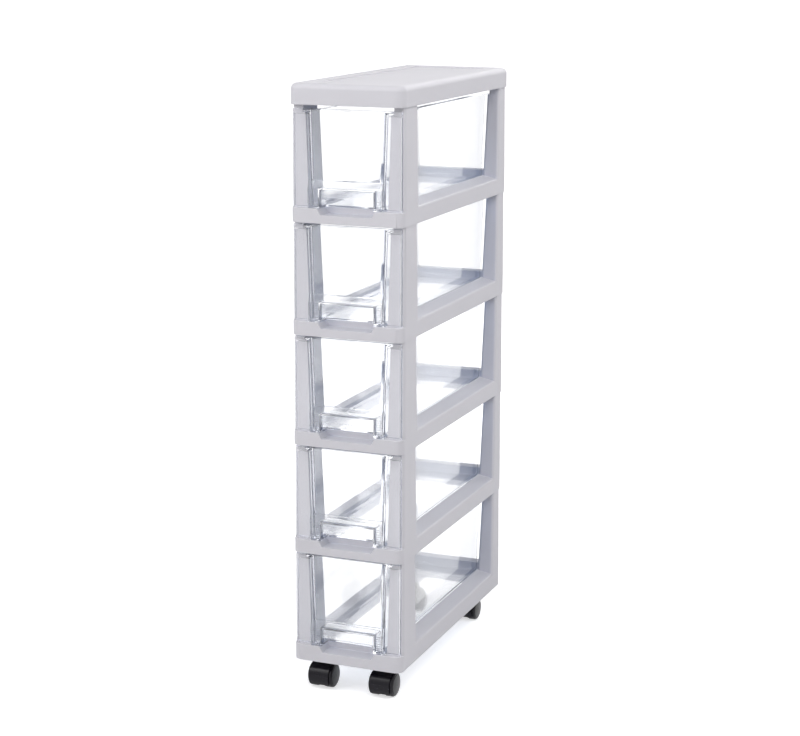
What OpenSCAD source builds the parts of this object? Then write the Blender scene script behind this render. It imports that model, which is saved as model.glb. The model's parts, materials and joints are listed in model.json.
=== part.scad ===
// Slim five-drawer tower on casters: stacked frames, clear drawers, a top cover.
// Millimetres, +Z up. The origin is on the floor, under the middle of the tower,
// and the drawers open towards -Y.

/* [Tower] */
// Outer width of the frames and the cover
tower_w = 180; // [170:1:230]
// Outer depth, from the front lips to the back
tower_d = 460; // [380:1:520]
// Clear height from a front lip to the frame above it
bay_h = 148; // [120:1:190]
// Wall thickness of the frames and the cover
wall = 2.5; // [2:0.1:3]

/* [Frames] */
// Height of the front lip of a tier frame
lip_h = 22; // [20:0.5:34]
// Height of the front lip of the base frame
base_lip_h = 25.5; // [24.5:0.5:36]
// Depth of the front lip, front to back
lip_d = 35; // [34:1:44]
// How far the front lip stands out past the posts
lip_proud = 5; // [4:0.5:6]
// Radius of the two front corners
front_r = 13; // [9:0.5:15]
// Radius of the two back corners
back_r = 5; // [4.5:0.5:6]
// Gap between a drawer's box and the feet of the posts, at its floor
foot_gap = 4.7; // [3:0.1:6]
// Rise of the side ledge over the lip, at its inner edge
ledge_rise = 8.5; // [6:0.5:12]
// Fall of the side ledge from its inner edge to the outside
ledge_fall = 5; // [3:0.5:6]
// Radius of the outer edge of the side ledge
ledge_r = 4; // [3:0.5:5]
// Depth of the back bar, front to back
back_bar_d = 20; // [16:1:26]
// Rise of the back bar over the lip
back_bar_rise = 15.5; // [10:0.5:24]
// How deep a post stands up inside the frame above it
lap = 3.3; // [2:0.1:4]
// Thickness of the ribs that seat a frame or the cover on the posts
seat_rib_t = 2; // [1.5:0.1:3]

/* [Posts] */
// Depth from the front lip to the side window, at the post's foot
front_post_d = 66; // [62:1:76]
// Depth of a back post at its foot
back_post_d = 37; // [34:1:46]
// Draft of the posts towards the window, over their height
window_draft = 4.5; // [3:0.5:6]
// Draft of the posts' inner faces, over their height
inner_draft = 5; // [4:0.5:5.5]
// Draft of the posts' outer faces, over their height
outer_draft = 1.2; // [0.8:0.1:1.3]
// Radius of the posts' upright edges
post_r = 4.5; // [3:0.5:4.5]
// Height of the locating tenon on a post
tenon_h = 9; // [6:1:12]
// Width of the locating tenon
tenon_w = 9; // [6:0.5:9.5]

/* [Finger notch] */
// Width of the notch at its floor
notch_w = 81; // [60:1:86]
// Depth of the notch below the lip
notch_h = 9.5; // [6:0.5:12]
// How far each end of the notch slopes out
notch_flare = 5.5; // [2:0.5:7]
// How far the notch reaches in from the front
notch_d = 28; // [20:1:29]

/* [Drawers] */
// Width of a drawer's front panel
panel_w = 172.4; // [160:0.2:173]
// Gap between the front panel's top edge and the frame above it
panel_top_gap = 2.4; // [1:0.1:6]
// Depth of the front panel's edge
panel_d = 5; // [4:0.5:6]
// Wall thickness of a drawer
drawer_wall = 2; // [1.6:0.1:2.4]
// Outer width of a drawer's box at its floor
box_foot_w = 116; // [104:1:117]
// Draft of the box sides, over their height
box_draft = 5; // [3:0.5:5.5]
// Radius of the box's upright corners
box_corner_r = 8; // [6:0.5:12]
// Radius between the floor and the walls of the box
box_floor_r = 8; // [6:0.5:10]
// Width of the rim that the drawer hangs by
rim_w = 141; // [138:0.2:143]
// Thickness of the rim
rim_t = 2.4; // [1.6:0.1:2.6]
// Drop from the front panel's top to the rim's top
rim_drop = 2.9; // [2.5:0.1:6]
// Height of the handle's front face
grip_h = 31; // [26:0.5:36]
// Height of the slope over the handle
grip_slope_h = 11.5; // [6:0.5:16]
// How far the handle stands out past the panel
grip_proud = 4; // [3:0.5:4]
// Depth of the small step at the top of the slope
grip_step = 0.8; // [0.4:0.1:1.2]
// Width of the handle
grip_w = 122; // [112:1:126]
// Width of the finger pocket
pocket_w = 86; // [70:1:88]
// Height of the finger pocket's mouth
pocket_mouth_h = 17; // [12:0.5:19]
// Height of the finger pocket behind its mouth
pocket_h = 28; // [22:0.5:29]
// Number of grip ribs on each side of the pocket
grip_ribs = 8; // [5:1:9]
// Radius of a grip rib
grip_rib_r = 0.8; // [0.5:0.1:0.9]
// Depth of the stop tab's front face, from the front lip
stop_y = 385; // [300:1:410]
// Width of the stop tab
stop_w = 30; // [16:1:40]
// Thickness of the stop tab
stop_t = 3; // [2:0.5:5]
// How far the stop tab hangs below the lip
stop_drop = 3; // [2:0.5:4]

/* [Top cover] */
// Height of the cover
cover_h = 31.2; // [26:0.2:40]
// Radius of the cover's top edges
cover_r = 9; // [5:0.5:9.5]
// Width of the recessed top panel
recess_w = 120; // [80:1:150]
// Width of the rim in front of the recess
recess_front = 52; // [30:1:70]
// Width of the rim behind the recess
recess_back = 22; // [16:1:40]
// Depth of the recess
recess_depth = 2.5; // [1.5:0.1:4]
// Corner radius of the recess
recess_r = 7; // [3:0.5:12]
// How far the cover stands out past the frames
cover_proud = 1.2; // [0.5:0.1:2]

/* [Casters] */
// Height from the floor to the base frame
caster_h = 49; // [48.5:0.5:56]
// Distance of a swivel axis from the middle, sideways
caster_x = 51; // [46:1:56]
// Distance of a swivel axis from the front or the back
caster_inset = 42; // [40:1:50]
// How far the wheels sit in front of the swivel axis
trail = 13; // [11:0.5:15]
// Wheel diameter
wheel_d = 38; // [36:0.5:39]
// Width of one wheel
wheel_w = 14.5; // [12:0.5:15]
// Gap between the two wheels
wheel_gap = 14; // [13:0.5:16]
// Width of the fender
fender_w = 32; // [26:0.5:34]
// Thickness of the fender
fender_t = 2; // [1.6:0.1:2.2]
// Lowest angle of the fender at the front
fender_front = -36; // [-38:1:-10]
// Where the fender ends at the back, from the front
fender_back = 150; // [130:1:160]
// Axle diameter
axle_d = 5; // [4:0.5:6]
// Stem diameter
stem_d = 8; // [7:0.5:9]
// How far the stem stands up in its socket
stem_up = 18; // [15:0.5:18.5]
// Wall of a socket around the stem
socket_wall = 4; // [3:0.5:5]
// Thickness of the grip ring
ring_t = 1.5; // [1.2:0.1:1.8]
// How far the grip ring stands out of the stem
ring_proud = 0.9; // [0.6:0.1:1.2]
// Depth of the grip ring's groove in the stem
ring_groove = 0.8; // [0.5:0.1:1]
// Distance of the grip ring from the stem's upper end
ring_drop = 6; // [4:0.5:8]
// Radius of a wheel's outer edge
wheel_edge_r = 3.5; // [1:0.5:4]
// How far a wheel's outer face bulges at its middle
wheel_crown = 1.5; // [0.5:0.1:2]
// Wall between an axle's end and the wheel's outer face
wheel_cap = 1.2; // [1:0.1:2]

/* [Fits] */
// Gap between a drawer and what it slides on
slide_gap = 0.3; // [0.3:0.05:0.4]
// Gap around the front panel
panel_gap = 0.4; // [0.3:0.05:0.5]
// Gap under the front panel
panel_lift = 0.5; // [0.3:0.05:0.6]
// Gap beside the drawer's rim
rim_gap = 1.2; // [0.8:0.1:1.4]
// Gap behind a closed drawer
back_gap = 1.5; // [1:0.1:2]
// Gap beside parts that only locate each other
locate_gap = 0.25; // [0.2:0.05:0.3]
// Running clearance of the stem and the wheels, on the radius
run_gap = 0.06; // [0.03:0.01:0.1]
// Gap between a turning part and its neighbour
turn_gap = 1; // [0.8:0.1:1.2]
// Gap past the end of a shaft in its bore
end_gap = 0.5; // [0.3:0.1:0.8]

/* [Hidden] */

grey = [0.80, 0.80, 0.83];
clear = [0.86, 0.90, 0.96, 0.45];
black = [0.09, 0.09, 0.11];
steel = [0.72, 0.73, 0.75];

tiers = 5;
cut = 1;                         // how far a cut runs past a face
sink = 1;                        // how far joined forms run into each other
slice = 0.05;                    // thickness of the sections that a hull joins
round_steps = 6;
half_w = tower_w / 2;
foot_x = box_foot_w / 2 + foot_gap;
front_y = -tower_d / 2;

// Heights: tier 1 is at the top, tier 5 stands on the base frame
base_lip_z = caster_h + base_lip_h;
pitch = bay_h + lip_h;
function lip_z(tier) = base_lip_z + (tiers - tier) * pitch;
post_h = bay_h + lap;            // from the lip to a post's seat
cover_z = lip_z(1) + post_h;

// Posts in plan: y is measured back from the front lip
post_top_x = foot_x + inner_draft;
post_out_x = half_w - outer_draft;
front_post_y = lip_proud;
back_post_y = tower_d - back_post_d;
corner_y = front_post_y + front_r;  // where a front post's flat side begins
front_seat_y = front_post_d - window_draft;
back_seat_y = back_post_y + window_draft;
back_seat_end = tower_d - outer_draft;

// Tenons on the posts, and the ribs that rest on them
tenon_x = half_w - wall - locate_gap;
front_tenon_inset = 15;
back_tenon_inset = 12;
front_rib_inset = 9;
back_rib_inset = 5;

// The drawer's seat in the frame
panel_x = panel_w / 2;
panel_y = lip_proud;
panel_top = bay_h - panel_top_gap;
seat_y = panel_y + panel_d + panel_gap;
rim_top = panel_top - rim_drop;
rim_z = rim_top - rim_t;
slot_x = rim_w / 2 + rim_gap;    // the posts are notched for the rim
slot_z = rim_z - slide_gap;
back_bar_y = tower_d - back_bar_d;

// The drawer, from the lip's top up
box_z = slide_gap;
box_back_y = back_bar_y - back_gap;
box_foot_x = box_foot_w / 2;
box_top_x = box_foot_x + box_draft;
grip_y = panel_y - grip_proud;
pocket_x = pocket_w / 2;
grip_in_x = min(box_foot_x, grip_w / 2) - drawer_wall;
border_gap = 0.5;                // leaves a fillet beside the box's wall
grip_rib_end = 2;                // ribs stop short of the handle's ends
grip_rib_z = 3;

// The cover
panel_z = cover_h - recess_depth - wall;
cover_side_z = cover_h - cover_r;

// Casters
wheel_r = wheel_d / 2;
wheel_in = wheel_gap / 2;
axle_r = axle_d / 2;
stem_r = stem_d / 2;
fender_r = wheel_r + turn_gap;
web_t = wheel_gap - 2 * turn_gap;
hood_top = caster_h - slide_gap;
stem_low = wheel_r + 11;
stem_floor = 2;
socket_h = stem_up + end_gap + 1.5;
boss_r = stem_r + socket_wall;
plate_rim = 3;                   // the corner plate reaches past the socket
ring_r = stem_r + ring_proud;
ring_in = stem_r - ring_groove;
ring_z = caster_h + stem_up - ring_drop;
ring_split = 1.2;
bore_d = wheel_w - wheel_cap;
axle_half = wheel_in + bore_d - end_gap;
fender_steps = 8;

// A rectangle with four round corners
module round_rect(x0, x1, y0, y1, r) {
    corner_rect(x0, x1, y0, y1, r, r);
}

// A rectangle whose corner at x1 and y0 has a radius of its own
module corner_rect(x0, x1, y0, y1, r, outer_r) {
    polygon([
        [x0 + r, y0], [x1 - outer_r, y0], [x1, y0 + outer_r], [x1, y1 - r],
        [x1 - r, y1], [x0 + r, y1], [x0, y1 - r], [x0, y0 + r]
    ]);
    for (place = [[x0 + r, y0 + r], [x0 + r, y1 - r], [x1 - r, y1 - r]])
        translate(place) circle(r, $fn = 32);
    intersection() {
        translate([x1 - outer_r, y0 + outer_r]) circle(outer_r, $fn = 48);
        translate([x0 + r, y0]) square([x1 - x0 - r, y1 - y0]);
    }
}

// The tower's plan, drawn in from its outside
module plan(inset) {
    x = half_w - inset;
    front = max(front_r - inset, 0.5);
    back = max(back_r - inset, 0.5);
    y0 = inset;
    y1 = tower_d - inset;
    polygon([
        [front - x, y0], [x - front, y0], [x, y0 + front], [x, y1 - back],
        [x - back, y1], [back - x, y1], [-x, y1 - back], [-x, y0 + front]
    ]);
    for (side = [-1, 1]) {
        translate([side * (x - front), y0 + front]) circle(front, $fn = 48);
        translate([side * (x - back), y1 - back]) circle(back, $fn = 32);
    }
}

// Runs a profile drawn in X and Z from y0 back to y1
module along_y(y0, y1) {
    translate([0, y1, 0]) rotate([90, 0, 0]) linear_extrude(y1 - y0) children();
}

// Runs a profile drawn in Y and Z from x0 to x1
module along_x(x0, x1) {
    translate([x0, 0, 0]) rotate([90, 0, 90]) linear_extrude(x1 - x0) children();
}

module both_sides() {
    children();
    mirror([1, 0, 0]) children();
}

module block(x0, x1, y0, y1, z0, z1) {
    translate([x0, y0, z0]) cube([x1 - x0, y1 - y0, z1 - z0]);
}

// Section of the right side band, with its ledge sloping to the outside
module band_section(inset, top) {
    slope = atan(ledge_fall / (half_w - foot_x));
    r = max(ledge_r - inset, 0.5);
    x0 = foot_x + inset;
    x1 = half_w - inset;
    rise = top + ledge_rise - inset / cos(slope);
    round_x = x1 - r;
    round_z = rise - (round_x - foot_x) * tan(slope) - r / cos(slope);
    z0 = inset > 0 ? -cut : 0;
    polygon([
        [x0, z0], [x1, z0], [x1, round_z],
        [round_x + r * sin(slope), round_z + r * cos(slope)],
        [x0, rise - inset * tan(slope)]
    ]);
    translate([round_x, round_z]) circle(r, $fn = 32);
}

// A drafted post on the right side, from the lip to its seat
module post(foot_y0, foot_y1, top_y0, top_y1, outer_r, top) {
    hull() {
        translate([0, 0, top - sink]) linear_extrude(slice)
            corner_rect(foot_x, half_w, foot_y0, foot_y1, post_r, outer_r);
        translate([0, 0, top + post_h - slice]) linear_extrude(slice)
            corner_rect(post_top_x, post_out_x, top_y0, top_y1, post_r, outer_r);
    }
}

// Plan of a post's seat, grown by a clearance
module seat_plan(y0, y1, outer_r, gap) {
    corner_rect(post_top_x - gap, post_out_x + gap, y0 - gap, y1 + gap,
        post_r + gap, outer_r + gap);
}

// Hollow of a post, drafted as the post is
module post_hollow(y0, y1, top) {
    low_z = top + slot_z - wall;
    high_z = top + post_h - wall;
    drop_in = inner_draft * (low_z - top) / post_h;
    drop_out = outer_draft * (high_z - top) / post_h;
    along_y(y0, y1) polygon([
        [foot_x + wall, 0], [half_w - wall, 0],
        [half_w - wall - drop_out, high_z], [slot_x + wall, high_z],
        [slot_x + wall, low_z], [foot_x + drop_in + wall, low_z],
        [foot_x + wall, top]
    ]);
}

// The ribs that rest on the posts below
module seat_ribs(z0, z1) {
    for (y = [front_post_y + front_rib_inset, front_seat_y - front_rib_inset,
              back_seat_y + back_rib_inset, back_seat_end - back_rib_inset])
        block(foot_x, half_w, y - seat_rib_t / 2, y + seat_rib_t / 2, z0, z1);
}

module tenons(z0, z1) {
    block(tenon_x - tenon_w, tenon_x, front_post_y + front_tenon_inset,
        front_seat_y - front_tenon_inset, z0, z1);
    block(tenon_x - tenon_w, tenon_x, back_seat_y + back_tenon_inset,
        back_seat_end - back_tenon_inset, z0, z1);
}

// The finger notch in the front lip, grown by a wall for the hollow beneath it
module notch(top, grow) {
    slope = notch_flare / notch_h;
    foot = notch_w / 2 + grow;
    head = foot + slope * (notch_h + grow + cut);
    z0 = top - notch_h - grow;
    z1 = top + cut;
    along_y(-cut, notch_d + grow)
        polygon([[-foot, z0], [foot, z0], [head, z1], [-head, z1]]);
}

// A frame's outer form, before it is hollowed
module frame_form(top) {
    intersection() {
        linear_extrude(top + post_h) plan(0);
        union() {
            block(-half_w, half_w, 0, lip_d, 0, top);
            block(-foot_x - sink, foot_x + sink, back_bar_y, tower_d,
                0, top + back_bar_rise);
            both_sides() {
                along_y(corner_y, tower_d) band_section(0, top);
                post(front_post_y, front_post_d, front_post_y, front_seat_y, front_r, top);
                post(back_post_y, tower_d, back_seat_y, back_seat_end, post_r, top);
            }
        }
    }
}

// Everything inside the frame's walls, open at the bottom
module frame_hollow(top) {
    intersection() {
        translate([0, 0, -cut]) linear_extrude(top + post_h) plan(wall);
        union() {
            block(-half_w, half_w, 0, lip_d - wall, -cut, top - wall);
            block(-half_w, half_w, back_bar_y + wall, tower_d, -cut, top - wall);
            block(-foot_x, foot_x, back_bar_y + wall, tower_d,
                -cut, top + back_bar_rise - wall);
            both_sides() {
                along_y(corner_y, tower_d) band_section(wall, top);
                post_hollow(corner_y, front_seat_y - wall, top);
                post_hollow(back_seat_y + wall, back_seat_end - wall, top);
            }
        }
    }
}

// One frame from its underside at z = 0, with the lip's top at the given height
module frame(top, is_base) {
    difference() {
        frame_form(top);
        difference() {
            frame_hollow(top);
            if (!is_base) both_sides() seat_ribs(lap, top);
            notch(top, wall);
        }
        notch(top, 0);
        // the rebate for the front panel
        block(-panel_x - panel_gap, panel_x + panel_gap, 0, seat_y,
            top, top + post_h + cut);
        // the slots for the drawer's rim
        block(-slot_x, slot_x, 0, tower_d + cut, top + slot_z, top + post_h + cut);
        // the pockets for the posts of the frame below
        if (!is_base) both_sides() translate([0, 0, -cut]) linear_extrude(lap + cut) {
            seat_plan(front_post_y, front_seat_y, front_r, locate_gap);
            seat_plan(back_seat_y, back_seat_end, post_r, locate_gap);
        }
    }
    both_sides() tenons(top + post_h - sink, top + post_h + tenon_h);
}

module tier_frame(tier) {
    color(grey) translate([0, front_y, lip_z(tier) - lip_h]) frame(lip_h, false);
}

// Places a part on a corner's swivel axis
module at_caster(side, end) {
    y = end == "front" ? caster_inset : tower_d - caster_inset;
    translate([side * caster_x, front_y + y, 0]) children();
}

// A flat web that closes a corner of the base and carries its socket
module corner_plate(side, end) {
    x0 = caster_x - boss_r - plate_rim;
    x1 = half_w - wall / 2;
    depth = caster_inset + boss_r + plate_rim;
    y0 = end == "front" ? wall / 2 : tower_d - depth;
    y1 = end == "front" ? depth : tower_d - wall / 2;
    translate([0, front_y, caster_h]) intersection() {
        linear_extrude(wall) plan(wall / 2);
        block(side > 0 ? x0 : -x1, side > 0 ? x1 : -x0, y0, y1, 0, wall);
    }
}

// The socket's bore, with a snap groove for the grip ring
module socket() {
    translate([0, 0, caster_h - cut])
        cylinder(stem_up + end_gap + cut, r = stem_r + run_gap, $fn = 64);
    translate([0, 0, ring_z - locate_gap])
        cylinder(ring_t + 2 * locate_gap, r = ring_r + run_gap, $fn = 64);
}

module base_frame() {
    color(grey) difference() {
        union() {
            translate([0, front_y, caster_h]) frame(base_lip_h, true);
            for (side = [-1, 1], end = ["front", "back"]) {
                corner_plate(side, end);
                at_caster(side, end) translate([0, 0, caster_h])
                    cylinder(socket_h, r = boss_r, $fn = 48);
            }
        }
        for (side = [-1, 1], end = ["front", "back"])
            at_caster(side, end) socket();
    }
}

// A drawer's box as a solid form: drafted sides over a rounded floor
module box_form(inset, z0, z1) {
    r = box_floor_r - inset;
    corner = box_corner_r - inset;
    y0 = panel_y + inset;
    y1 = box_back_y - inset;
    top_x = box_top_x - inset;
    hull() {
        for (i = [0 : round_steps]) {
            angle = 90 * i / round_steps;
            lift = r * (1 - cos(angle));
            pull = r * (1 - sin(angle));
            x = box_foot_x - inset - pull + box_draft * lift / (z1 - z0);
            translate([0, 0, z0 + lift]) linear_extrude(slice)
                round_rect(-x, x, y0 + pull, y1 - pull, max(corner - pull, 1));
        }
        translate([0, 0, z1 - slice]) linear_extrude(slice)
            round_rect(-top_x, top_x, y0, y1, corner);
    }
}

// Section of the handle in Y and Z: an upright face, a slope and a small step over it
module grip_section(inset, back_y) {
    y0 = grip_y + inset;
    z0 = panel_lift + inset;
    z1 = grip_h + grip_slope_h - inset;
    polygon([
        [back_y, z0], [y0, z0], [y0, grip_h], [y0 + grip_proud - grip_step, z1], [back_y, z1]
    ]);
}

// The finger pocket, open below and reaching up behind the handle's face
module pocket(grow) {
    along_y(grip_y + drawer_wall - grow, notch_d + grow)
        translate([-pocket_x - grow, -cut])
        square([2 * (pocket_x + grow), pocket_h + grow + cut]);
}

// The hollow back of the front panel's border, beside the box
module border_hollow() {
    low_z = panel_lift + drawer_wall;
    high_z = rim_z - drawer_wall;
    along_y(panel_y + drawer_wall, panel_y + panel_d + cut) polygon([
        [box_foot_x + border_gap, low_z], [panel_x - drawer_wall, low_z],
        [panel_x - drawer_wall, high_z], [box_top_x + border_gap, high_z]
    ]);
}

module grip_rib(z) {
    x0 = pocket_x + grip_rib_end;
    translate([x0, grip_y, z]) rotate([0, 90, 0])
        cylinder(grip_w / 2 - grip_rib_end - x0, r = grip_rib_r, $fn = 24);
}

module drawer_form() {
    difference() {
        union() {
            box_form(0, box_z, rim_top);
            block(-panel_x, panel_x, panel_y, panel_y + panel_d, panel_lift, panel_top);
            along_x(-grip_w / 2, grip_w / 2) grip_section(0, panel_y + drawer_wall);
            block(-rim_w / 2, rim_w / 2, panel_y + drawer_wall, box_back_y, rim_z, rim_top);
        }
        // the box's inside, around the finger pocket
        difference() {
            union() {
                box_form(drawer_wall, box_z + drawer_wall, rim_top + cut);
                along_x(-grip_in_x, grip_in_x)
                    grip_section(drawer_wall, panel_y + 2 * drawer_wall);
            }
            pocket(drawer_wall);
        }
        both_sides() border_hollow();
        pocket(0);
        // the pocket's mouth, with round upper corners
        along_y(grip_y - cut, grip_y + drawer_wall + cut)
            round_rect(-pocket_x, pocket_x, -2 * box_floor_r, pocket_mouth_h, box_floor_r);
    }
    for (i = [0 : grip_ribs - 1])
        both_sides() grip_rib(grip_rib_z + i * (grip_h - 2 * grip_rib_z) / (grip_ribs - 1));
    block(-stop_w / 2, stop_w / 2, stop_y, stop_y + stop_t,
        -stop_drop, box_z + drawer_wall / 2);
}

module drawer(tier) {
    color(clear) translate([0, front_y, lip_z(tier)]) drawer_form();
}

// The cover's outside: the tower's plan, grown a little, with round top edges
module cover_form() {
    hull() {
        linear_extrude(cover_side_z) plan(-cover_proud);
        for (i = [1 : round_steps]) {
            angle = 90 * i / round_steps;
            translate([0, 0, cover_side_z + cover_r * sin(angle) - slice])
                linear_extrude(slice) plan(cover_r * (1 - cos(angle)) - cover_proud);
        }
    }
}

module top_cover() {
    color(grey) translate([0, front_y, cover_z]) difference() {
        cover_form();
        // the hollow underneath, around the ribs that rest on the posts
        difference() {
            translate([0, 0, -cut]) linear_extrude(panel_z + cut) plan(wall);
            both_sides() seat_ribs(0, panel_z);
        }
        translate([0, 0, cover_h - recess_depth]) linear_extrude(recess_depth + cut)
            round_rect(-recess_w / 2, recess_w / 2, recess_front, tower_d - recess_back, recess_r);
    }
}

// The caster's parts are drawn about the swivel axis, with the floor at z = 0
module at_axle() {
    translate([0, -trail, wheel_r]) children();
}

// A round bar along X, centred on the axle
module cross_bar(length, r) {
    at_axle() rotate([0, 90, 0]) cylinder(length, r = r, center = true, $fn = 96);
}

// An arched fender over both wheels
module fender() {
    reach = 2 * fender_r;
    step = (fender_back - fender_front) / fender_steps;
    angles = [for (i = [0 : fender_steps]) fender_front + step * i];
    intersection() {
        difference() {
            cross_bar(fender_w, fender_r + fender_t);
            cross_bar(fender_w + cut, fender_r);
        }
        at_axle() along_x(-fender_w / 2, fender_w / 2)
            polygon(concat([[0, 0]], [for (a = angles) reach * [-cos(a), sin(a)]]));
    }
}

module hood() {
    web_foot = wheel_r * (1 + sin(fender_front));
    skirt_z = wheel_r + fender_r - 3;
    reach = 2 * fender_r;
    difference() {
        union() {
            fender();
            cross_bar(web_t, fender_r + fender_t / 2);
            translate([0, 0, stem_low - stem_floor])
                cylinder(hood_top - stem_low + stem_floor, r = web_t / 2, $fn = 48);
            translate([0, 0, skirt_z]) cylinder(hood_top - skirt_z, r = boss_r, $fn = 48);
        }
        cross_bar(fender_w, axle_r);
        translate([0, 0, stem_low]) cylinder(caster_h, r = stem_r, $fn = 64);
        // the web ends above the floor
        block(-fender_w, fender_w, -trail - reach, reach, -reach, web_foot);
        // room for both wheels beside the web
        both_sides() translate([web_t / 2 + wheel_w, 0, 0]) cross_bar(2 * wheel_w, fender_r);
    }
}

module stem() {
    difference() {
        translate([0, 0, stem_low])
            cylinder(caster_h + stem_up - stem_low, r = stem_r, $fn = 64);
        // the grip ring's groove
        translate([0, 0, ring_z]) difference() {
            cylinder(ring_t, r = stem_r + cut, $fn = 64);
            cylinder(ring_t, r = ring_in, $fn = 64);
        }
    }
}

// A split spring ring in the stem's groove
module grip_ring() {
    translate([0, 0, ring_z]) difference() {
        cylinder(ring_t, r = ring_r, $fn = 64);
        translate([0, 0, -cut]) cylinder(ring_t + 2 * cut, r = ring_in, $fn = 64);
        block(0, 2 * ring_r, -ring_split / 2, ring_split / 2, -cut, ring_t + cut);
    }
}

module axle() {
    cross_bar(2 * axle_half, axle_r);
}

// A wheel with a round edge, a crowned outer face and a blind bore
module wheel(side) {
    rim_w = wheel_w - wheel_crown;
    crown_r = (wheel_r * wheel_r / wheel_crown + wheel_crown) / 2;
    at_axle() rotate([0, side * 90, 0]) translate([0, 0, wheel_in]) difference() {
        rotate_extrude($fn = 96) intersection() {
            union() {
                square([wheel_r - wheel_edge_r, wheel_w]);
                square([wheel_r, rim_w - wheel_edge_r]);
                translate([wheel_r - wheel_edge_r, rim_w - wheel_edge_r])
                    circle(wheel_edge_r, $fn = 32);
            }
            translate([0, wheel_w - crown_r]) intersection() {
                circle(crown_r, $fn = 256);
                square(crown_r);
            }
        }
        translate([0, 0, -cut]) cylinder(bore_d + cut, r = axle_r + run_gap, $fn = 48);
    }
}

top_cover();
for (i = [1 : 4])
    tier_frame(i);
base_frame();
for (i = [1 : 5])
    drawer(i);
for (end = ["front", "back"], side = [-1, 1]) {
    corner = str(end, side < 0 ? "_left" : "_right");
    color(black) at_caster(side, end) hood();
    color(steel) at_caster(side, end) stem();
    color(steel) at_caster(side, end) grip_ring();
    color(steel) at_caster(side, end) axle();
    color(black) at_caster(side, end) wheel(side);
    color(black) at_caster(side, end) wheel(-side);
}
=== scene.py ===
import bpy
import bmesh
import json
import math
from mathutils import Vector, Matrix


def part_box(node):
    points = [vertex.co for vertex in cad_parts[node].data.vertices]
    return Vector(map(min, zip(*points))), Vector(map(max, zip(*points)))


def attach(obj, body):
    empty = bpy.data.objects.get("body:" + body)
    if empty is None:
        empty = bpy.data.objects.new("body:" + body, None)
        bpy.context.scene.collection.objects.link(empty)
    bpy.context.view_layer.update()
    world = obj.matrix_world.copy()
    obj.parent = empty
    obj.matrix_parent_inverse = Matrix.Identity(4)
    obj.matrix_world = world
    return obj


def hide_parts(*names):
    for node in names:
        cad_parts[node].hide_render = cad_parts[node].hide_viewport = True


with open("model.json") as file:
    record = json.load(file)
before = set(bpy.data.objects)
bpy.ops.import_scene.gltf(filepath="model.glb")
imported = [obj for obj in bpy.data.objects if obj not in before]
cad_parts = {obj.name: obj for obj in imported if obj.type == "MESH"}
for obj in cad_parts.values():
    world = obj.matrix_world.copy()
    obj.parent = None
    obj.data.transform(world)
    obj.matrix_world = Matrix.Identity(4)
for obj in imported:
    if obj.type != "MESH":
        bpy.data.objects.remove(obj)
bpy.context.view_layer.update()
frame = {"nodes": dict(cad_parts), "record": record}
scene = bpy.context.scene
nodes = frame["nodes"]
print("frame loaded:", len(nodes), "nodes")


def connect(tree, value, socket):
    # the value is another node's output, a colour or a number
    if isinstance(value, bpy.types.NodeSocket):
        tree.links.new(value, socket)
    elif isinstance(value, tuple):
        socket.default_value = (*value, 1)
    else:
        socket.default_value = value


def addMath(tree, operation, *values, clamp=False):
    node = tree.nodes.new("ShaderNodeMath")
    node.operation = operation
    node.use_clamp = clamp
    for socket, value in zip(node.inputs, values):
        connect(tree, value, socket)
    return node.outputs[0]


def addRange(tree, value, fromMin, fromMax, toMin=0, toMax=1):
    # takes a value from one range to another, and holds it there
    node = tree.nodes.new("ShaderNodeMapRange")
    limits = {"Value": value, "From Min": fromMin, "From Max": fromMax, "To Min": toMin, "To Max": toMax}
    for label, limit in limits.items():
        connect(tree, limit, node.inputs[label])
    return node


def addColourMix(tree, factor, first, second):
    node = tree.nodes.new("ShaderNodeMix")
    node.data_type = "RGBA"
    for label, value in {"Factor": factor, "A": first, "B": second}.items():
        connect(tree, value, node.inputs[label])
    return node.outputs["Result"]


def direction(azimuth, elevation):
    # azimuth 0 is the front, and it grows towards the right side
    azimuth, elevation = math.radians(azimuth), math.radians(elevation)
    return Vector((math.sin(azimuth) * math.cos(elevation),
                   -math.cos(azimuth) * math.cos(elevation),
                   math.sin(elevation)))


# angles in degrees, lens and sensor in millimetres, the rest in metres
view = {
    "azimuth": 21.68,
    "elevation": 12.48,
    "roll": 0.218,
    "distance": 3.204,
    "aim": (-0.0411, 0.0909, 0.4500),
    "lens": 87.31,
    "sensor": 36,
    "nearest": 0.05,
    "farthest": 60,
}


def makeCamera():
    back = direction(view["azimuth"], view["elevation"])
    data = bpy.data.cameras.new("camera")
    data.sensor_fit = "HORIZONTAL"
    data.sensor_width = view["sensor"]
    data.lens = view["lens"]
    data.clip_start, data.clip_end = view["nearest"], view["farthest"]
    camera = bpy.data.objects.new("camera", data)
    scene.collection.objects.link(camera)
    camera.rotation_mode = "QUATERNION"
    turn = (-back).to_track_quat("-Z", "Y")
    tilt = Matrix.Rotation(math.radians(view["roll"]), 4, "Z").to_quaternion()
    camera.location = Vector(view["aim"]) + back * view["distance"]
    camera.rotation_quaternion = turn @ tilt
    scene.camera = camera


makeCamera()


# one sheet of paper, which lies on the floor and bends up behind the tower
floorPaper = {
    "width": 14,
    "front": -7.0,
    "backdropAt": 4.5,
    "bend": 1.5,
    "bendStep": 5,  # degrees
    "top": 6.0,
    "colour": (0.80, 0.80, 0.81),
    "glowNear": 0.62,  # of plain white, close to the tower
    "glowFar": 1.0,
    "glowReach": (0.35, 1.3),
}


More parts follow.
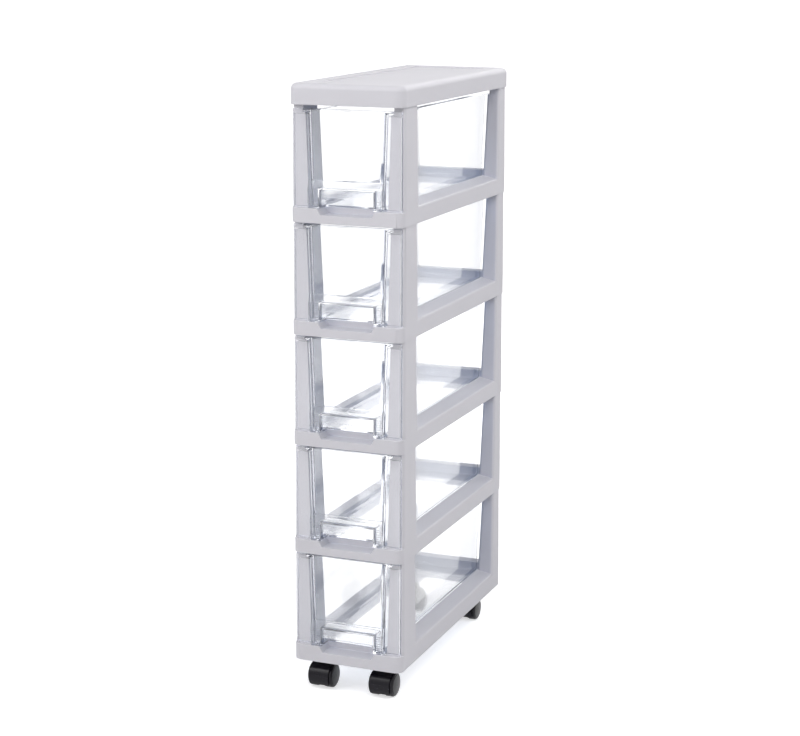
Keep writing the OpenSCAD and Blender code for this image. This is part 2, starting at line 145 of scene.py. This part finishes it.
def makeFloor():
    half, bend = floorPaper["width"] / 2, floorPaper["bend"]
    wall = floorPaper["backdropAt"]
    turns = [math.radians(a) for a in range(0, 91, floorPaper["bendStep"])]
    line = [(floorPaper["front"], 0)]
    line += [(wall - bend + bend * math.sin(a), bend - bend * math.cos(a)) for a in turns]
    line += [(wall, floorPaper["top"])]
    points = [(x, y, z) for y, z in line for x in (-half, half)]
    strips = [(2 * i, 2 * i + 1, 2 * i + 3, 2 * i + 2) for i in range(len(line) - 1)]
    mesh = bpy.data.meshes.new("floor")
    mesh.from_pydata(points, [], strips)
    for polygon in mesh.polygons:
        polygon.use_smooth = True
    mesh.materials.append(paperMaterial())
    floor = bpy.data.objects.new("floor", mesh)
    scene.collection.objects.link(floor)


def paperMaterial():
    # it takes the tower's shadow, and glows to plain white away from it
    paper = bpy.data.materials.new("floor paper")
    paper.use_nodes = True
    tree = paper.node_tree
    tree.nodes.clear()
    out = tree.nodes.new("ShaderNodeOutputMaterial")
    diffuse = tree.nodes.new("ShaderNodeBsdfDiffuse")
    connect(tree, floorPaper["colour"], diffuse.inputs["Color"])
    place = tree.nodes.new("ShaderNodeTexCoord")
    away = tree.nodes.new("ShaderNodeVectorMath")
    away.operation = "LENGTH"
    tree.links.new(place.outputs["Object"], away.inputs[0])
    spread = addRange(tree, away.outputs["Value"], *floorPaper["glowReach"],
                      floorPaper["glowNear"], floorPaper["glowFar"])
    spread.interpolation_type = "SMOOTHSTEP"
    glow = tree.nodes.new("ShaderNodeEmission")
    strength = addMath(tree, "MULTIPLY", spread.outputs["Result"], seenDirectly(tree))
    tree.links.new(strength, glow.inputs["Strength"])
    both = tree.nodes.new("ShaderNodeAddShader")
    tree.links.new(diffuse.outputs["BSDF"], both.inputs[0])
    tree.links.new(glow.outputs["Emission"], both.inputs[1])
    tree.links.new(both.outputs["Shader"], out.inputs["Surface"])
    return paper


def seenDirectly(tree):
    # 1 for a ray from the camera, a mirror or through clear plastic, else 0
    path = tree.nodes.new("ShaderNodeLightPath")
    straight = addMath(tree, "MAXIMUM", path.outputs["Is Camera Ray"], path.outputs["Is Transmission Ray"])
    return addMath(tree, "MAXIMUM", straight, path.outputs["Is Glossy Ray"])


sky = {
    "strength": 0.12,
    "colour": (1.0, 1.0, 1.02),
    "seenColour": (1, 1, 1),
}


def makeWorld():
    world = bpy.data.worlds.new("studio")
    world.use_nodes = True
    scene.world = world
    tree = world.node_tree
    tree.nodes.clear()
    out = tree.nodes.new("ShaderNodeOutputWorld")
    light = tree.nodes.new("ShaderNodeBackground")
    connect(tree, sky["colour"], light.inputs["Color"])
    light.inputs["Strength"].default_value = sky["strength"]
    white = tree.nodes.new("ShaderNodeBackground")
    connect(tree, sky["seenColour"], white.inputs["Color"])
    mix = tree.nodes.new("ShaderNodeMixShader")
    tree.links.new(seenDirectly(tree), mix.inputs["Fac"])
    tree.links.new(light.outputs["Background"], mix.inputs[1])
    tree.links.new(white.outputs["Background"], mix.inputs[2])
    tree.links.new(mix.outputs["Shader"], out.inputs["Surface"])


# azimuth and elevation in degrees, distance in metres, watts
lamps = {
    "frontLeft": (-45, 35, 3.0, 46),
    "front": (10, 12, 3.4, 12),
    "rightHigh": (85, 45, 3.0, 27),
    "frontRightHigh": (45, 50, 3.0, 26),
    "farBack": (170, 30, 3.0, 28),
}
softbox = {
    "size": 1.7,
    "aim": (0, 0, 0.42),
}


def makeLamps():
    for name, (azimuth, elevation, distance, watts) in lamps.items():
        data = bpy.data.lights.new(name, "AREA")
        data.shape = "SQUARE"
        data.size = softbox["size"]
        data.energy = watts
        lamp = bpy.data.objects.new(name, data)
        scene.collection.objects.link(lamp)
        toLamp = direction(azimuth, elevation)
        lamp.location = Vector(softbox["aim"]) + toLamp * distance
        lamp.rotation_mode = "QUATERNION"
        lamp.rotation_quaternion = (-toLamp).to_track_quat("-Z", "Y")


makeFloor()
makeWorld()
makeLamps()
scene.view_settings.view_transform = "Standard"
print("studio ready:", len(lamps), "lamps")


# what all injection mouldings have: a soft drift of colour and gloss, and a fine grain
mouldingSkin = {
    "cloudScale": 9,
    "cloudDetail": 3,
    "cloudRange": (0.3, 0.7),
    "cloudMiddle": 0.5,
    "grainDetail": 2,
    "grainDepth": 0.0002,
}


def addNoise(tree, place, scale, detail):
    noise = tree.nodes.new("ShaderNodeTexNoise")
    connect(tree, scale, noise.inputs["Scale"])
    noise.inputs["Detail"].default_value = detail
    tree.links.new(place.outputs["Object"], noise.inputs["Vector"])
    return noise.outputs["Fac"]


def mouldingGroup():
    group = bpy.data.node_groups.new("moulding", "ShaderNodeTree")
    inputs = {
        "Colour": ("NodeSocketColor", (0.6, 0.6, 0.6, 1)),
        "Drift": ("NodeSocketFloat", 0.03),
        "Grain Size": ("NodeSocketFloat", 900.0),
        "Roughness": ("NodeSocketFloat", 0.4),
        "Roughness Drift": ("NodeSocketFloat", 0.06),
    }
    outputs = {"Colour": "NodeSocketColor", "Roughness": "NodeSocketFloat", "Height": "NodeSocketFloat"}
    for label, (kind, value) in inputs.items():
        socket = group.interface.new_socket(label, in_out="INPUT", socket_type=kind)
        socket.default_value = value
    for label, kind in outputs.items():
        group.interface.new_socket(label, in_out="OUTPUT", socket_type=kind)
    inlet = group.nodes.new("NodeGroupInput").outputs
    outlet = group.nodes.new("NodeGroupOutput").inputs
    place = group.nodes.new("ShaderNodeTexCoord")
    cloud = addNoise(group, place, mouldingSkin["cloudScale"], mouldingSkin["cloudDetail"])
    darkest = addMath(group, "SUBTRACT", 1, inlet["Drift"])
    shade = addRange(group, cloud, *mouldingSkin["cloudRange"], darkest, 1)
    tint = group.nodes.new("ShaderNodeVectorMath")
    tint.operation = "SCALE"
    group.links.new(inlet["Colour"], tint.inputs[0])
    group.links.new(shade.outputs["Result"], tint.inputs["Scale"])
    group.links.new(tint.outputs["Vector"], outlet["Colour"])
    centred = addMath(group, "SUBTRACT", cloud, mouldingSkin["cloudMiddle"])
    rough = addMath(group, "MULTIPLY_ADD", centred, inlet["Roughness Drift"], inlet["Roughness"])
    group.links.new(rough, outlet["Roughness"])
    grain = addNoise(group, place, inlet["Grain Size"], mouldingSkin["grainDetail"])
    group.links.new(grain, outlet["Height"])
    return group


moulding = mouldingGroup()


def newMaterial(name):
    material = bpy.data.materials.new(name)
    material.use_nodes = True
    tree = material.node_tree
    return material, tree, tree.nodes["Principled BSDF"]


def addSkin(tree, shader, finish):
    # the moulding group with the values of one finish
    skin = tree.nodes.new("ShaderNodeGroup")
    skin.node_tree = moulding
    for label, value in finish["skin"].items():
        connect(tree, value, skin.inputs[label])
    tree.links.new(skin.outputs["Colour"], shader.inputs["Base Color"])
    tree.links.new(skin.outputs["Roughness"], shader.inputs["Roughness"])
    return skin


def mouldedPlastic(name, finish):
    material, tree, plastic = newMaterial(name)
    skin = addSkin(tree, plastic, finish)
    relief = tree.nodes.new("ShaderNodeBump")
    relief.inputs["Strength"].default_value = finish["grain"]
    relief.inputs["Distance"].default_value = mouldingSkin["grainDepth"]
    tree.links.new(skin.outputs["Height"], relief.inputs["Height"])
    tree.links.new(relief.outputs["Normal"], plastic.inputs["Normal"])
    plastic.inputs["Specular IOR Level"].default_value = finish["specular"]
    return material


frameFinish = {
    "skin": {"Colour": (0.645, 0.635, 0.675), "Drift": 0.03, "Grain Size": 1100, "Roughness": 0.52},
    "grain": 0.14,
    "specular": 0.38,
}
framePlastic = mouldedPlastic("frame plastic", frameFinish)

casterFinish = {
    "skin": {"Colour": (0.006, 0.005, 0.009), "Drift": 0.1, "Grain Size": 700, "Roughness": 0.26},
    "grain": 0.08,
    "specular": 0.22,
}
casterPlastic = mouldedPlastic("caster plastic", casterFinish)

pinFinish = {
    "skin": {"Colour": (0.62, 0.62, 0.64), "Drift": 0.08, "Roughness": 0.3},
}


def drawnSteel():
    material, tree, metal = newMaterial("drawn steel")
    metal.inputs["Metallic"].default_value = 1
    addSkin(tree, metal, pinFinish)
    return material


pinSteel = drawnSteel()

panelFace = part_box("drawer_1")[0][1]  # where a drawer's foremost ribs stand
drawerFinish = {
    "ior": 1.42,
    "tint": (0.99, 0.993, 0.997),
    # painted shade for faces seen edge on
    "paintedGrazingShade": (0.92, 0.94, 0.97),
    "grazing": (0.72, 0.98),
    # painted shade on the front panel's edges and ribs
    "paintedEdgeShade": (0.27, 0.29, 0.35),
    "edgeTurn": (0.96, 0.75),  # how squarely a face looks ahead, from no painted shade to full painted shade
    "panelShade": (0.985, 0.988, 0.995),
    "boxShade": (0.84, 0.875, 0.93),
    "haze": 0.05,
    "pocketHaze": 0.0575,
    "frostedHaze": 0.2,
    "frostFade": 0.0002,
    "panelFront": panelFace + 0.0038,
    "panelBack": panelFace + 0.0103,
    "pocketBack": panelFace + 0.036,
    "pocketHalfWidth": 0.0465,
    # a ray that rattles inside the plastic for longer than this goes straight on
    "mostBounces": {"Ray Depth": 8.5, "Glossy Depth": 1.5},
}


def drawerRoughness(tree, across, ahead, behindPanel):
    # the handle stands out past the panel and is frosted, and the finger pocket is a touch hazier
    front, clear, frosted = drawerFinish["panelFront"], drawerFinish["haze"], drawerFinish["frostedHaze"]
    handle = addRange(tree, ahead, front, front - drawerFinish["frostFade"], clear, frosted)
    sideways = addMath(tree, "ABSOLUTE", across)
    narrow = addMath(tree, "LESS_THAN", sideways, drawerFinish["pocketHalfWidth"])
    shallow = addMath(tree, "LESS_THAN", ahead, drawerFinish["pocketBack"])
    pocket = addMath(tree, "MULTIPLY", addMath(tree, "MULTIPLY", narrow, shallow), behindPanel)
    return addMath(tree, "MULTIPLY_ADD", pocket, drawerFinish["pocketHaze"] - clear, handle.outputs["Result"])


def drawerColour(tree, behindPanel):
    # seen edge on, the plastic is painted a little darker: painted shade at grazing angles
    facing = tree.nodes.new("ShaderNodeLayerWeight").outputs["Facing"]
    edgeOn = addRange(tree, facing, *drawerFinish["grazing"])
    tintAndGrazingShade = addColourMix(tree, edgeOn.outputs["Result"], drawerFinish["tint"], drawerFinish["paintedGrazingShade"])
    # and the front panel's edges and ribs, which turn away from the front, get a darker painted shade
    surface = tree.nodes.new("ShaderNodeNewGeometry")
    lean = tree.nodes.new("ShaderNodeSeparateXYZ")
    tree.links.new(surface.outputs["Normal"], lean.inputs["Vector"])
    squarely = addMath(tree, "ABSOLUTE", lean.outputs["Y"])
    turned = addRange(tree, squarely, *drawerFinish["edgeTurn"])
    onPanel = addMath(tree, "SUBTRACT", turned.outputs["Result"], behindPanel, clamp=True)
    return addColourMix(tree, onPanel, tintAndGrazingShade, drawerFinish["paintedEdgeShade"])


def clearPlastic():
    material, tree, plastic = newMaterial("drawer plastic")
    plastic.inputs["IOR"].default_value = drawerFinish["ior"]
    plastic.inputs["Transmission Weight"].default_value = 1
    place = tree.nodes.new("ShaderNodeTexCoord")
    split = tree.nodes.new("ShaderNodeSeparateXYZ")
    tree.links.new(place.outputs["Object"], split.inputs["Vector"])
    across, ahead = split.outputs["X"], split.outputs["Y"]
    behindPanel = addMath(tree, "GREATER_THAN", ahead, drawerFinish["panelBack"])
    tree.links.new(drawerRoughness(tree, across, ahead, behindPanel), plastic.inputs["Roughness"])
    tree.links.new(drawerColour(tree, behindPanel), plastic.inputs["Base Color"])
    # light falls straight through, and the box throws a little more shade than the front panel
    path = tree.nodes.new("ShaderNodeLightPath")
    lighting = addMath(tree, "MAXIMUM", path.outputs["Is Shadow Ray"], path.outputs["Is Diffuse Ray"])
    shaded = addMath(tree, "MULTIPLY", behindPanel, lighting)
    shade = addColourMix(tree, shaded, drawerFinish["panelShade"], drawerFinish["boxShade"])
    straight = tree.nodes.new("ShaderNodeBsdfTransparent")
    tree.links.new(shade, straight.inputs["Color"])
    share = lighting
    for depth, most in drawerFinish["mostBounces"].items():
        tooDeep = addMath(tree, "GREATER_THAN", path.outputs[depth], most)
        share = addMath(tree, "MAXIMUM", share, tooDeep)
    mix = tree.nodes.new("ShaderNodeMixShader")
    tree.links.new(share, mix.inputs["Fac"])
    tree.links.new(plastic.outputs["BSDF"], mix.inputs[1])
    tree.links.new(straight.outputs["BSDF"], mix.inputs[2])
    tree.links.new(mix.outputs["Shader"], tree.nodes["Material Output"].inputs["Surface"])
    return material


drawerPlastic = clearPlastic()
print("materials ready")


# how a solid's sharp edges are rounded
rounding = {
    "weld": 0.00002,  # corners closer than this, in metres, are one
    "flatWithin": 0.2,  # faces that turn by less than this, in degrees, are one
    "sharpFrom": 28,  # edges that turn by less than this, in degrees, stay
    "lookFor": 4,  # room beside an edge is looked for this far, in bevel widths
    "roomFor": 2.3,  # an edge with less room than this beside it stays sharp
    "middle": (0.1, 0.9),  # of an edge's length
    "crossings": (0.2, 0.5, 0.8),
    "mostStray": 30,  # degrees between a face and its shading
}
frameEdges = {"width": 0.0006, "segments": 3, "crease": 38}
drawerEdges = {"width": 0.0004, "segments": 2, "crease": 12}


def roomInside(face, edge, reach):
    # how far the face reaches inward from an edge before it meets its own outline again
    start, end = (v.co for v in edge.verts)
    length = (end - start).length
    along = (end - start) / length
    loop = next(l for l in face.loops if l.edge == edge)
    if loop.vert != edge.verts[0]:
        inward = along.cross(face.normal)
    else:
        inward = face.normal.cross(along)
    low, high = rounding["middle"]
    depths = [reach]
    for other in face.edges:
        if other == edge:
            continue
        a, b = (v.co - start for v in other.verts)
        for point in (a, b):
            reached = point.dot(along)
            if reach < reached < length - reach or low < reached / length < high:
                depths.append(point.dot(inward))
        for share in rounding["crossings"]:
            aSide, bSide = a.dot(along) - share * length, b.dot(along) - share * length
            if aSide * bSide < 0:
                depths.append(a.lerp(b, aSide / (aSide - bSide)).dot(inward))
    return min(max(depth, 0) for depth in depths if depth > -reach / 2)


def edgesToRound(work, width):
    edges = []
    for edge in work.edges:
        if len(edge.link_faces) != 2 or edge.calc_face_angle(0) < math.radians(rounding["sharpFrom"]):
            continue
        room = min(roomInside(face, edge, rounding["lookFor"] * width) for face in edge.link_faces)
        if room > rounding["roomFor"] * width:
            edges.append(edge)
    return edges


def settleNormals(piece):
    # flat faces stay flat, and no corner of a face is shaded far from the face itself
    weighted = piece.modifiers.new("flat faces stay flat", "WEIGHTED_NORMAL")
    weighted.keep_sharp = True
    shown = piece.evaluated_get(bpy.context.evaluated_depsgraph_get()).to_mesh()
    most = math.radians(rounding["mostStray"])
    normals = [None] * len(shown.loops)
    for polygon in shown.polygons:
        for loop in polygon.loop_indices:
            normal = shown.corner_normals[loop].vector.copy()
            stray = normal.angle(polygon.normal, 0) > most
            normals[loop] = polygon.normal.copy() if stray else normal
    piece.modifiers.clear()
    piece.data.normals_split_custom_set(normals)


def bodyOf(nodeName):
    bodies = frame["record"]["behaviour"]["bodies"]
    return next(body for body, names in bodies.items() if nodeName in names)


def roundedCopy(nodeName, pieceName, edges, material):
    # the solid's mesh, cleaned to its true faces, with its sharp edges rounded
    mesh = nodes[nodeName].data.copy()
    mesh.name = pieceName
    work = bmesh.new()
    work.from_mesh(mesh)
    bmesh.ops.remove_doubles(work, verts=work.verts, dist=rounding["weld"])
    bmesh.ops.dissolve_limit(work, angle_limit=math.radians(rounding["flatWithin"]), verts=work.verts,
                             edges=work.edges, use_dissolve_boundaries=False)
    work.normal_update()
    bmesh.ops.bevel(work, geom=edgesToRound(work, edges["width"]), offset=edges["width"],
                    offset_type="OFFSET", segments=edges["segments"], profile=0.5,
                    affect="EDGES", clamp_overlap=False, loop_slide=True)
    for face in work.faces:
        face.smooth = True
    work.to_mesh(mesh)
    work.free()
    mesh.materials.clear()
    mesh.materials.append(material)
    piece = bpy.data.objects.new(pieceName, mesh)
    scene.collection.objects.link(piece)
    mesh.set_sharp_from_angle(angle=math.radians(edges["crease"]))
    settleNormals(piece)
    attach(piece, bodyOf(nodeName))
    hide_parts(nodeName)


def dress(nodeName, material):
    # the solid itself is shown, in a finish of its own
    mesh = nodes[nodeName].data
    mesh.materials.clear()
    mesh.materials.append(material)


tower = {
    "frames": ["tier_frame_1", "tier_frame_2", "tier_frame_3", "tier_frame_4", "base_frame"],
    "drawers": ["drawer_1", "drawer_2", "drawer_3", "drawer_4", "drawer_5"],
    "corners": ["front_left", "front_right", "back_left", "back_right"],
}
casterParts = {
    "hood": casterPlastic,
    "outer_wheel": casterPlastic,
    "inner_wheel": casterPlastic,
    "stem": pinSteel,
    "axle": pinSteel,
    "grip_ring": pinSteel,
}

roundedCopy("top_cover", "cover_moulding", frameEdges, framePlastic)
for name in tower["frames"]:
    roundedCopy(name, name + "_moulding", frameEdges, framePlastic)
print("cover and frames ready")

for name in tower["drawers"]:
    roundedCopy(name, name + "_moulding", drawerEdges, drawerPlastic)
print("drawers ready")

for corner in tower["corners"]:
    for part, material in casterParts.items():
        dress(corner + "_" + part, material)
print("casters ready")
